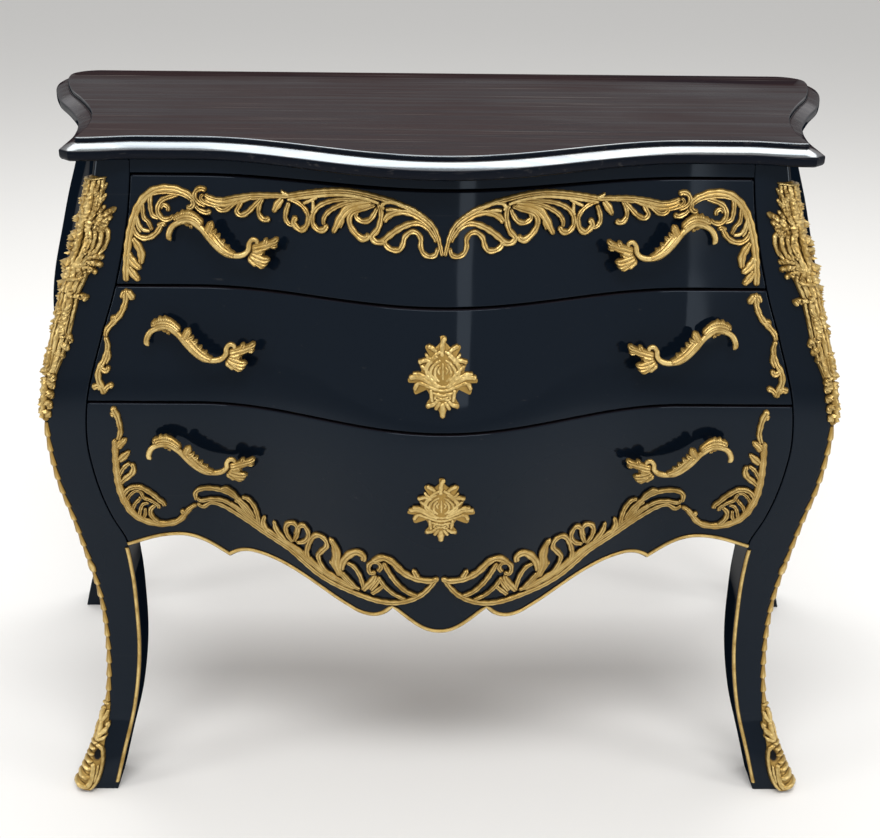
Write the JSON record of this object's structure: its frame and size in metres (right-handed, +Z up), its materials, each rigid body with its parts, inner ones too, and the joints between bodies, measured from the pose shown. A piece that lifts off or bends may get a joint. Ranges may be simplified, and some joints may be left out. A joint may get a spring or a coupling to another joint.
{
  "type": "commode chest of drawers",
  "caption": "Bombe commode chest with serpentine drawers, a scalloped apron, swept legs, a moulded top and gilt scroll mounts; the drawers slide out to hold clothes or linen.",
  "frame": {"origin": "middle of the chest's footprint, on the floor", "axes": "+Z up, the drawer fronts face -Y, +X is the right hand of someone who stands before the chest"},
  "size_m": [1.143, 0.6074, 0.85],
  "materials": {
    "lacquer": "high-gloss blue-black lacquer",
    "gilt": "satin gilt casting",
    "drawer_wood": "plain waxed hardwood",
    "case_wood": "matt stained panel"
  },
  "bodies": {
    "carcass": {"top": "lacquer", "front_top_rail": "lacquer", "front_leg_right": "lacquer", "front_leg_left": "lacquer", "back_leg_right": "lacquer", "back_leg_left": "lacquer", "side_panel_right": "lacquer", "side_panel_left": "lacquer", "upper_divider_rail": "lacquer", "lower_divider_rail": "lacquer", "back_panel": "case_wood", "bottom_board": "case_wood", "corner_mount_right": "gilt", "corner_mount_left": "gilt", "edge_strip_right": "gilt", "edge_strip_left": "gilt", "sabot_right": "gilt", "sabot_left": "gilt", "leg_bead_right": "gilt", "leg_bead_left": "gilt", "drawer_1_runner_right": "drawer_wood", "drawer_1_runner_left": "drawer_wood", "drawer_2_runner_right": "drawer_wood", "drawer_2_runner_left": "drawer_wood", "drawer_3_runner_right": "drawer_wood", "drawer_3_runner_left": "drawer_wood"},
    "drawer_1": {"drawer_1_front": "lacquer", "drawer_1_side_right": "drawer_wood", "drawer_1_side_left": "drawer_wood", "drawer_1_back": "drawer_wood", "drawer_1_bottom": "drawer_wood", "drawer_1_handle_right": "gilt", "drawer_1_handle_left": "gilt", "drawer_1_corner_scroll_right": "gilt", "drawer_1_corner_scroll_left": "gilt", "drawer_1_leaf_spray_right": "gilt", "drawer_1_leaf_spray_left": "gilt"},
    "drawer_2": {"drawer_2_front": "lacquer", "drawer_2_side_right": "drawer_wood", "drawer_2_side_left": "drawer_wood", "drawer_2_back": "drawer_wood", "drawer_2_bottom": "drawer_wood", "drawer_2_handle_right": "gilt", "drawer_2_handle_left": "gilt", "drawer_2_edge_leaf_right": "gilt", "drawer_2_edge_leaf_left": "gilt", "drawer_2_escutcheon": "gilt"},
    "drawer_3": {"drawer_3_front": "lacquer", "drawer_3_side_right": "drawer_wood", "drawer_3_side_left": "drawer_wood", "drawer_3_back": "drawer_wood", "drawer_3_bottom": "drawer_wood", "drawer_3_handle_right": "gilt", "drawer_3_handle_left": "gilt", "drawer_3_corner_scroll_right": "gilt", "drawer_3_corner_scroll_left": "gilt", "drawer_3_leaf_spray_right": "gilt", "drawer_3_leaf_spray_left": "gilt", "drawer_3_escutcheon": "gilt", "drawer_3_apron_bead": "gilt"}
  },
  "joints": [
    {"name": "drawer_1_slide", "type": "slide", "parent": "carcass", "child": "drawer_1", "axis": [0, -1, 0], "range_m": [0, 0.3]},
    {"name": "drawer_2_slide", "type": "slide", "parent": "carcass", "child": "drawer_2", "axis": [0, -1, 0], "range_m": [0, 0.3]},
    {"name": "drawer_3_slide", "type": "slide", "parent": "carcass", "child": "drawer_3", "axis": [0, -1, 0], "range_m": [0, 0.3]}
  ]
}
